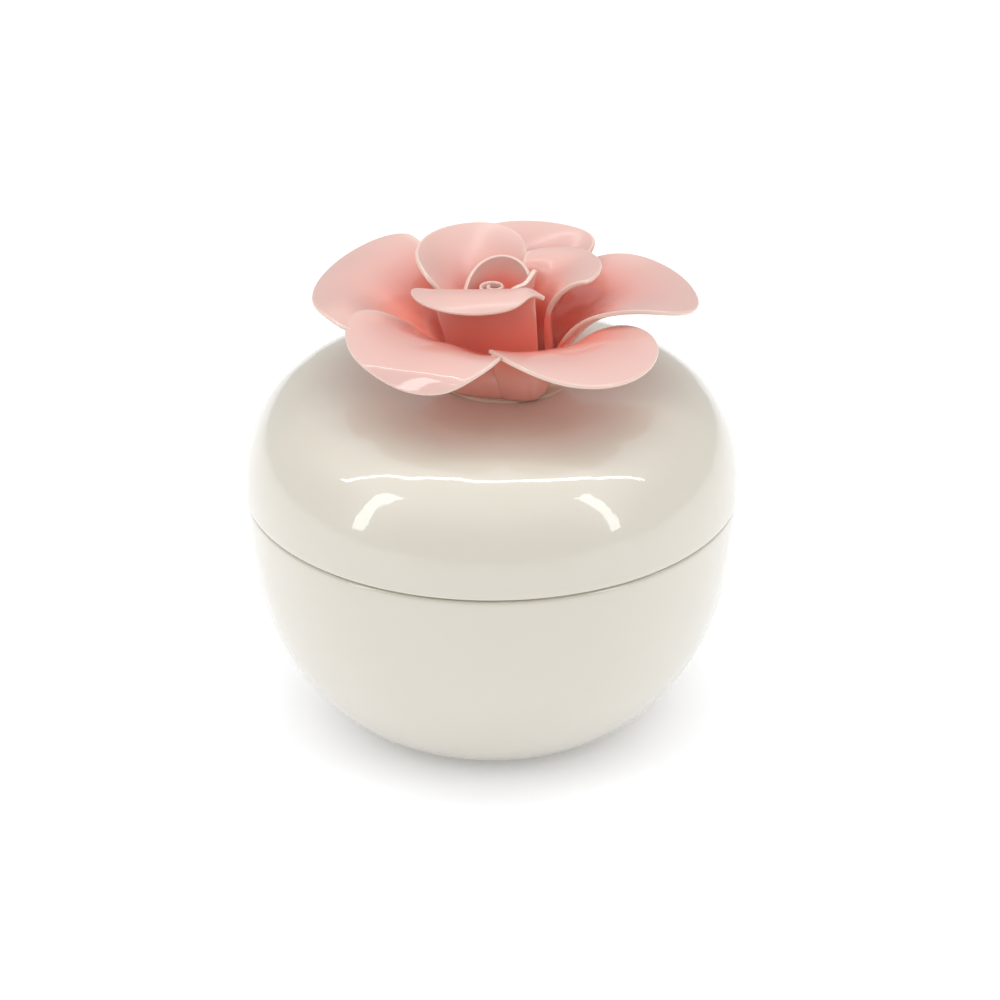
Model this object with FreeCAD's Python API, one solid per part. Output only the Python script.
# Powder jar: a glazed porcelain bowl, a domed lid that sits on it with a locating ring,
# and a handmade porcelain flower fixed to the lid a little to the right of its middle.
# Millimetres, +Z up. The origin is the centre of the foot, on the surface that the jar
# stands on, and the front of the jar faces -Y.
import FreeCAD, Part
import math
import os

# ---- bowl ---------------------------------------------------------------------------
BOWL_RADIUS = 44.6          # widest, at the rim
BOWL_RIM_HEIGHT = 44.3      # top of the rim
BOWL_WALL = 4.0
BELLY_SPREAD = 1.55         # power of the belly's outward curve, 2 is an ellipse
BELLY_RISE = 2.34           # power of its upward curve
FOOT_RADIUS = 22.2          # outer edge of the foot ring
FOOT_RING_WIDTH = 4.7
FOOT_RECESS = 1.2           # the bottom inside the foot ring stands clear of the table
FLOOR_HEIGHT = 4.8          # inner floor of the bowl
FLOOR_RADIUS = 19.0
RIM_ROUNDING = 0.8          # glaze-softened edges of both rims

# ---- lid ----------------------------------------------------------------------------
LID_RADIUS = 45.0
LID_RISE = 21.9             # from the lid's lower edge to its highest ring
LID_WALL = 4.0
SHOULDER_POWER = 5.7        # how square the shoulder is seen across
CROWN_POWER = 2.03          # how square it is seen upwards
DISH_DEPTH = 0.7            # the flat top sinks slightly towards its middle
DISH_RADIUS = 17.0
SEAT_GAP = 0.2              # unglazed seats keep a hair line between bowl and lid
LID_EDGE_HEIGHT = BOWL_RIM_HEIGHT + SEAT_GAP

# ---- locating ring under the lid ----------------------------------------------------
RING_CLEARANCE = 0.8        # between the ring and the bowl's mouth
RING_WALL = 2.6
RING_DEPTH = 5.0
RING_SHELF = 1.0            # the ring's inner face runs this far above the lid's edge
RING_COVE_RISE = 3.5        # and then slopes out to meet the dome's inner face

# ---- flower -------------------------------------------------------------------------
FLOWER_X = 2.5              # flower axis, to the right of the jar's axis
PAD_RADIUS = 12.0
PAD_DEPTH = 0.8
PAD_TOP = 66.3              # outer petals are cut flat here and sit on the pad
SHELF_HEIGHT = 68.0         # middle petals stand on the core's shelf
CORE_TOP = 72.0             # inner petals and the bud stand on the core's post
CORE_RADIUS = 7.9
POST_RADIUS = 4.4
PETAL_ROOT_THICKNESS = 2.0
PETAL_RIM_THICKNESS = 0.8
PETAL_SIDE_ANGLE = 80.0     # where the round rim ends and the straight sides begin
WASTE_WIDTH = 200.0         # block that is taken away below a petal's foot
WASTE_DEPTH = 50.0

# Each petal is a flat leaf, cupped across, rolled outwards along its length, stood up at
# its pitch, wrapped round the flower and set at its turn. Angles in degrees.
#   turn          direction of the petal round the flower, 0 is +X and 90 is +Y
#   root_radius   distance of the root from the flower's axis
#   half_width    half of the widest part;  root_half_width  half of the root
#   length        root to rim at the middle; side_length     root to the end of a side
#   cup           angle that the sides are raised through, less than 0 is hollow outside
#   roll          angle that the petal rolls out through, from roll_start of its length on
#   wrap          radius that the petal is wrapped round
#   lean, yaw     small tilts of a petal set by hand
OUTER = dict(root_radius=9.0, root_height=66.5, root_half_width=6.0, roll_start=0.05)
MIDDLE = dict(root_radius=6.0, root_height=70.0, root_half_width=4.0, roll_start=0.05)
INNER = dict(root_radius=3.2, root_height=72.0, root_half_width=3.0, roll_start=0.05)

PETALS = {
    "outer_petal_left": dict(
        OUTER, turn=169.5, half_width=9.6, length=32.3, side_length=22.2,
        cup=53.0, roll=86.0, pitch=69.5, wrap=15.6, lean=-3.2, yaw=2.0),
    "outer_petal_front_left": dict(
        OUTER, root_half_width=7.3, turn=229.3, half_width=9.6, length=32.8, side_length=12.3,
        cup=40.0, roll=103.0, pitch=72.0, wrap=14.2, lean=11.2, yaw=-4.0),
    "outer_petal_front_right": dict(
        OUTER, root_half_width=4.4, turn=290.0, half_width=7.6, length=32.0, side_length=13.3,
        cup=30.0, roll=97.0, pitch=69.0, wrap=13.0, lean=2.0, yaw=6.5),
    "outer_petal_right": dict(
        OUTER, turn=11.5, half_width=8.7, length=32.5, side_length=12.3,
        cup=55.0, roll=98.0, pitch=73.5, wrap=16.4, lean=-6.5, yaw=1.0),
    "outer_petal_back": dict(
        OUTER, turn=92.0, half_width=9.5, length=24.0, side_length=15.0,
        cup=40.0, roll=70.0, pitch=74.0, wrap=14.0, lean=0.0, yaw=0.0),
    "middle_petal_left": dict(
        MIDDLE, root_radius=5.5, turn=135.0, half_width=8.3, length=23.0, side_length=13.5,
        cup=37.0, roll=52.0, pitch=81.0, wrap=10.7, lean=-6.0, yaw=-1.0),
    "middle_petal_back": dict(
        MIDDLE, root_radius=7.2, turn=64.0, half_width=7.9, length=23.4, side_length=15.3,
        cup=28.0, roll=60.0, pitch=75.5, wrap=11.0, lean=-4.0, yaw=6.0),
    "middle_petal_right": dict(
        MIDDLE, root_radius=7.9, root_height=68.3, root_half_width=4.5, roll_start=0.3,
        turn=12.0, half_width=7.5, length=23.5, side_length=20.3,
        cup=-17.0, roll=98.0, pitch=95.0, wrap=9.5, lean=-3.0, yaw=9.5),
    "middle_petal_front": dict(
        MIDDLE, root_radius=6.6, root_height=68.1, root_half_width=7.2, roll_start=0.5,
        turn=260.0, half_width=8.4, length=27.5, side_length=21.3,
        cup=-30.0, roll=131.0, pitch=85.0, wrap=12.4, lean=8.0, yaw=-9.0),
    "inner_petal_back": dict(
        INNER, turn=102.0, half_width=7.2, length=15.2, side_length=6.1,
        cup=0.0, roll=0.0, pitch=84.5, wrap=6.0, lean=-14.0, yaw=-1.0),
    "inner_petal_right": dict(
        INNER, root_half_width=2.5, turn=-18.0, half_width=4.8, length=13.4, side_length=10.6,
        cup=10.0, roll=17.0, pitch=89.5, wrap=3.8, lean=-2.0, yaw=0.0),
}

# Pulls that the fingers give a petal where it meets its neighbours: the place on the
# petal, the step, and how far from the place the step dies away.
PULLS = {
    "outer_petal_left": [
        (-21.2, -14.4, 82.8, (1.0, 1.0, -3.4), 11.0),
        (-10.9, -8.8, 77.2, (0.0, 0.0, -3.0), 9.0),
        (-18.4, -3.0, 79.5, (0.0, 0.0, -2.8), 9.0)],
    "outer_petal_front_left": [
        (4.0, -17.8, 81.0, (-2.4, 0.0, -3.2), 13.0),
        (0.4, -30.5, 80.8, (-1.2, 0.8, -0.3), 12.0),
        (-18.4, -1.2, 78.6, (0.0, -4.0, 1.2), 10.0),
        (-23.5, -8.5, 79.2, (-0.7, -0.1, 0.7), 8.0),
        (-3.5, -7.0, 66.3, (-1.6, -1.8, 0.0), 7.0),
        (3.5, -7.8, 66.5, (0.6, -2.4, 0.0), 7.0)],
    "outer_petal_front_right": [
        (5.6, -8.5, 66.5, (1.0, -2.6, 0.0), 8.0)],
    "middle_petal_back": [
        (16.8, 5.5, 85.3, (0.0, 5.5, -1.2), 16.0),
        (11.4, 3.1, 78.8, (-1.0, 5.0, -1.0), 12.0)],
    "middle_petal_right": [
        (7.1, 15.6, 83.6, (-0.9, -4.6, 1.0), 13.0)],
    "middle_petal_front": [
        (7.0, -15.0, 87.0, (0.0, 2.6, 0.8), 4.5),
        (9.0, -12.1, 87.3, (0.2, 0.0, -2.0), 4.0)],
    "inner_petal_right": [
        (7.4, -1.7, 85.2, (0.0, 0.0, 1.8), 3.5),
        (4.2, -4.7, 84.6, (0.0, 0.0, 0.5), 3.0)],
}

# A sharp fold: the direction that the clay runs in, where along it the fold starts, how
# high it lies, its radius and its angle.
FOLDS = {
    "outer_petal_front_left": dict(direction=244.0, start=29.6, level=79.5, radius=2.2, angle=32.0),
}

BUD_FOOT_X = -0.6           # the bud stands beside the flower's axis and leans to the left
BUD_TOP_X = -2.3
BUD_TOP_Y = -0.6
BUD_TOP = 83.5
BUD_INNER_RADIUS = 0.8
BUD_OUTER_RADIUS = 2.8
BUD_FOOT_SHARE = 0.65       # the roll's radius at its foot, as a share of that at its top
BUD_TURNS = 1.5
BUD_END_ANGLE = -50.0       # direction of the roll's outer end
BUD_WALL = 0.75             # less than the room between two turns of the roll

X_AXIS = FreeCAD.Vector(1, 0, 0)
Y_AXIS = FreeCAD.Vector(0, 1, 0)
Z_AXIS = FreeCAD.Vector(0, 0, 1)
ORIGIN = FreeCAD.Vector(0, 0, 0)


def at(radius, height):
    """Return a point of a turned profile."""
    return FreeCAD.Vector(radius, 0, height)


def smooth_edge(points):
    """Return one smooth edge through the points."""
    curve = Part.BSplineCurve()
    curve.interpolate(points)
    return curve.toShape()


def straight_edges(points):
    """Return the straight edges that join the points in turn."""
    return [Part.makeLine(start, end) for start, end in zip(points, points[1:])]


def turned(edges):
    """Return the solid that a closed half profile makes about the Z axis."""
    profile = Part.Face(Part.Wire(Part.__sortEdges__(edges)))
    return profile.revolve(ORIGIN, Z_AXIS, 360)


def rounded_corner(start, corner, end):
    """Return the arc that softens a square corner between two points of a profile."""
    inset = 1 - math.sqrt(0.5)
    middle = corner + (start - corner + end - corner) * inset
    return Part.Arc(start, middle, end).toShape()


# ---- bowl and lid -------------------------------------------------------------------
def belly_points(low_radius, high_radius, low, high, count=8):
    """Points up the belly, evenly spaced: flat at the foot, upright at the rim."""
    points = []
    for step in range(count + 1):
        angle = math.radians(90) * (1 - (1 - step / count) ** (BELLY_RISE / 2))
        out = math.sin(angle) ** (2 / BELLY_SPREAD)
        left = abs(math.cos(angle)) ** (2 / BELLY_RISE)
        points.append(at(low_radius + (high_radius - low_radius) * out, high - (high - low) * left))
    return points


def make_bowl():
    """The bowl: a round belly on a low foot ring, with a flat seat for the lid."""
    mouth = BOWL_RADIUS - BOWL_WALL
    foot_inner = FOOT_RADIUS - FOOT_RING_WIDTH
    shoulder = BOWL_RIM_HEIGHT - RIM_ROUNDING
    outside = smooth_edge(belly_points(FOOT_RADIUS, BOWL_RADIUS, 0, shoulder))
    inside = smooth_edge(belly_points(FLOOR_RADIUS, mouth, FLOOR_HEIGHT, shoulder))
    seat = [at(BOWL_RADIUS - RIM_ROUNDING, BOWL_RIM_HEIGHT), at(mouth + RIM_ROUNDING, BOWL_RIM_HEIGHT)]
    rim = [
        rounded_corner(at(BOWL_RADIUS, shoulder), at(BOWL_RADIUS, BOWL_RIM_HEIGHT), seat[0]),
        rounded_corner(at(mouth, shoulder), at(mouth, BOWL_RIM_HEIGHT), seat[1])]
    bottom = [
        at(FLOOR_RADIUS, FLOOR_HEIGHT), at(0, FLOOR_HEIGHT), at(0, FOOT_RECESS),
        at(foot_inner - FOOT_RECESS, FOOT_RECESS), at(foot_inner, 0), at(FOOT_RADIUS, 0)]
    return turned([outside, inside] + rim + straight_edges(seat) + straight_edges(bottom))


def dome_points(radius, rise, lowest, count=9):
    """Points from the dome's dished middle out to its edge, down to the lowest height."""
    last_angle = math.acos((lowest / rise) ** (CROWN_POWER / 2))
    points = []
    for step in range(count + 1):
        angle = last_angle * (step / count) ** 2
        out = radius * math.sin(angle) ** (2 / SHOULDER_POWER)
        height = rise * abs(math.cos(angle)) ** (2 / CROWN_POWER)
        dish = DISH_DEPTH * math.exp(-(out / DISH_RADIUS) ** 2)
        points.append(at(out, LID_EDGE_HEIGHT + height - dish))
    return points


def make_lid():
    """The lid: a dome with a dished top, and the ring that keeps it on the bowl."""
    ring_outer = BOWL_RADIUS - BOWL_WALL - RING_CLEARANCE
    ring_inner = ring_outer - RING_WALL
    ring_foot = LID_EDGE_HEIGHT - RING_DEPTH
    cove_top = RING_SHELF + RING_COVE_RISE
    dome = dome_points(LID_RADIUS, LID_RISE, RIM_ROUNDING)
    hollow = dome_points(LID_RADIUS - LID_WALL, LID_RISE - LID_WALL, cove_top)
    edge = at(LID_RADIUS - RIM_ROUNDING, LID_EDGE_HEIGHT)
    lip = rounded_corner(dome[-1], at(dome[-1].x, LID_EDGE_HEIGHT), edge)
    below = straight_edges([
        edge, at(ring_outer, LID_EDGE_HEIGHT), at(ring_outer, ring_foot),
        at(ring_inner, ring_foot), at(ring_inner, LID_EDGE_HEIGHT + RING_SHELF), hollow[-1]])
    middle = straight_edges([hollow[0], dome[0]])
    return turned([smooth_edge(dome), smooth_edge(hollow), lip] + below + middle)


# ---- flower -------------------------------------------------------------------------
def make_bonding_pad():
    """The thin bed that fixes the flower: flat on top, and sunk a little into the dished lid."""
    foot = FreeCAD.Vector(FLOWER_X, 0, PAD_TOP - PAD_DEPTH)
    return Part.makeCylinder(PAD_RADIUS, PAD_DEPTH, foot)


def make_flower_core():
    """The stepped core that the petals are pressed round."""
    foot = FreeCAD.Vector(FLOWER_X, 0, PAD_TOP)
    shelf = Part.makeCylinder(CORE_RADIUS, SHELF_HEIGHT - PAD_TOP, foot)
    post = Part.makeCylinder(POST_RADIUS, CORE_TOP - PAD_TOP, foot)
    return shelf.fuse(post).removeSplitter()


def bent(point, along, towards, radius, start=None, stop=None):
    """Bend a point along one direction about a centre that lies the radius away towards another."""
    across = along.cross(towards)
    reach = point.dot(along)
    height = point.dot(towards)
    held = reach if start is None else min(max(reach, start), stop)
    beyond = reach - held
    sine = math.sin(held / radius)
    cosine = math.cos(held / radius)
    new_reach = (radius - height) * sine + cosine * beyond
    new_height = height * cosine + radius * (1 - cosine) + sine * beyond
    return along * new_reach + towards * new_height + across * point.dot(across)


def turned_about(point, axis, degrees):
    """Turn a point about an axis through the origin."""
    return FreeCAD.Rotation(axis, degrees).multVec(point)


def pulled(point, pulls):
    """Move a point by the pulls that reach it."""
    for x, y, z, step, reach in pulls:
        distance = point.distanceToPoint(FreeCAD.Vector(x, y, z))
        near = max(0, 1 - distance / reach)
        point = point + FreeCAD.Vector(*step) * (near * near * (3 - 2 * near))
    return point


def folded(point, fold):
    """Fold a point down if it lies beyond the fold."""
    along = turned_about(X_AXIS, Z_AXIS, fold["direction"])
    corner = along * fold["start"] + Z_AXIS * fold["level"]
    stop = fold["radius"] * math.radians(fold["angle"])
    return bent(point - corner, along, Z_AXIS * -1, fold["radius"], 0, stop) + corner


def petal_point(petal, share, angle, side):
    """Return a point of a petal's face.

    share runs from 0 at the root to 1 at the rim, angle from one side to the other,
    and side is 1 on the face that looks in at the flower's axis and -1 on the other.
    """
    widest, root = petal["half_width"], petal["root_half_width"]
    length, side_length = petal["length"], petal["side_length"]
    fullness = (1 - max(share, 0)) * math.cos(math.radians(angle))
    thickness = PETAL_RIM_THICKNESS + (PETAL_ROOT_THICKNESS - PETAL_RIM_THICKNESS) * fullness
    across = (root + (widest - root) * math.sin(math.pi / 2 * share)) * math.sin(math.radians(angle))
    along = share * (side_length + (length - side_length) * math.cos(math.radians(angle)))
    point = FreeCAD.Vector(across, along, side * thickness / 2)
    if petal["cup"]:
        point = bent(point, X_AXIS, Z_AXIS, 2 * widest / math.radians(petal["cup"]))
    if petal["roll"]:
        start = petal["roll_start"] * length
        radius = (length - start) / math.radians(petal["roll"])
        rolled = bent(point - Y_AXIS * start, Y_AXIS, Z_AXIS * -1, radius, 0, length - start)
        point = rolled + Y_AXIS * start
    point = turned_about(point, Z_AXIS, petal["yaw"])
    point = turned_about(point, Y_AXIS, petal["lean"])
    point = turned_about(point, X_AXIS, petal["pitch"])
    point = bent(point, X_AXIS, Y_AXIS * -1, petal["wrap"])
    point = turned_about(point + Y_AXIS * petal["root_radius"], Z_AXIS, petal["turn"] - 90)
    return point + FreeCAD.Vector(FLOWER_X, 0, petal["root_height"])


def leaf_face(point_at, side, rows, columns):
    """One smooth face of a leaf, through points taken over its length and its width."""
    surface = Part.BSplineSurface()
    surface.interpolate([
        [point_at(row / (rows - 1), column / (columns - 1), side) for column in range(columns)]
        for row in range(rows)])
    return surface.toShape()


def leaf_solid(point_at, rows=12, columns=15):
    """A leaf of clay: two smooth faces closed by its edges."""
    inner = leaf_face(point_at, 1, rows, columns)
    outer = leaf_face(point_at, -1, rows, columns)
    edges = [Part.makeRuledSurface(one, other) for one, other in zip(inner.Edges, outer.Edges)]
    shell = Part.makeShell([inner, outer] + edges)
    shell.sewShape()
    solid = Part.makeSolid(shell)
    if solid.Volume < 0:
        solid.reverse()
    return solid


def make_petal(petal, pulls, fold, foot_height):
    """A petal, pulled and folded into its place and cut flat where it stands."""
    spare = petal["root_height"] - foot_height + PETAL_ROOT_THICKNESS
    first_share = -spare / petal["length"]

    def point_at(along, across, side):
        share = first_share + (1 - first_share) * along
        point = petal_point(petal, share, PETAL_SIDE_ANGLE * (2 * across - 1), side)
        point = pulled(point, pulls)
        return folded(point, fold) if fold else point

    corner = FreeCAD.Vector(-WASTE_WIDTH / 2, -WASTE_WIDTH / 2, foot_height - WASTE_DEPTH)
    waste = Part.makeBox(WASTE_WIDTH, WASTE_WIDTH, WASTE_DEPTH, corner)
    return leaf_solid(point_at).cut(waste)


def bud_point(along, across, side):
    """Return a point of the bud: along runs from its foot to its top, across round the roll."""
    angle = math.radians(BUD_END_ANGLE) + 2 * math.pi * BUD_TURNS * (across - 1)
    spread = BUD_FOOT_SHARE + (1 - BUD_FOOT_SHARE) * along
    radius = BUD_INNER_RADIUS + (BUD_OUTER_RADIUS - BUD_INNER_RADIUS) * across
    radius = radius * spread - side * BUD_WALL / 2
    centre_x = FLOWER_X + BUD_FOOT_X + (BUD_TOP_X - BUD_FOOT_X) * along
    return FreeCAD.Vector(centre_x + radius * math.cos(angle),
                          BUD_TOP_Y * along + radius * math.sin(angle),
                          CORE_TOP + (BUD_TOP - CORE_TOP) * along)


def make_bud():
    """The bud: one narrow petal rolled up tight."""
    return leaf_solid(bud_point, rows=5, columns=25)


def foot_height(name):
    """Return the height at which a petal is cut and stands."""
    if name.startswith("outer"):
        return PAD_TOP
    return SHELF_HEIGHT if name.startswith("middle") else CORE_TOP


def main():
    nodes = {
        "bowl": make_bowl(),
        "lid": make_lid(),
        "bonding_pad": make_bonding_pad(),
        "flower_core": make_flower_core(),
        "bud": make_bud(),
    }
    for name, petal in PETALS.items():
        nodes[name] = make_petal(petal, PULLS.get(name, []), FOLDS.get(name), foot_height(name))
    os.makedirs("parts", exist_ok=True)
    for name, shape in nodes.items():
        shape.exportStep(f"parts/{name}.step")
        box = shape.BoundBox
        print(f"{name}: valid {shape.isValid()}, solids {len(shape.Solids)}, "
              f"volume {shape.Volume:.0f} mm3, x {box.XMin:.1f} to {box.XMax:.1f}, "
              f"y {box.YMin:.1f} to {box.YMax:.1f}, z {box.ZMin:.2f} to {box.ZMax:.2f}")


main()
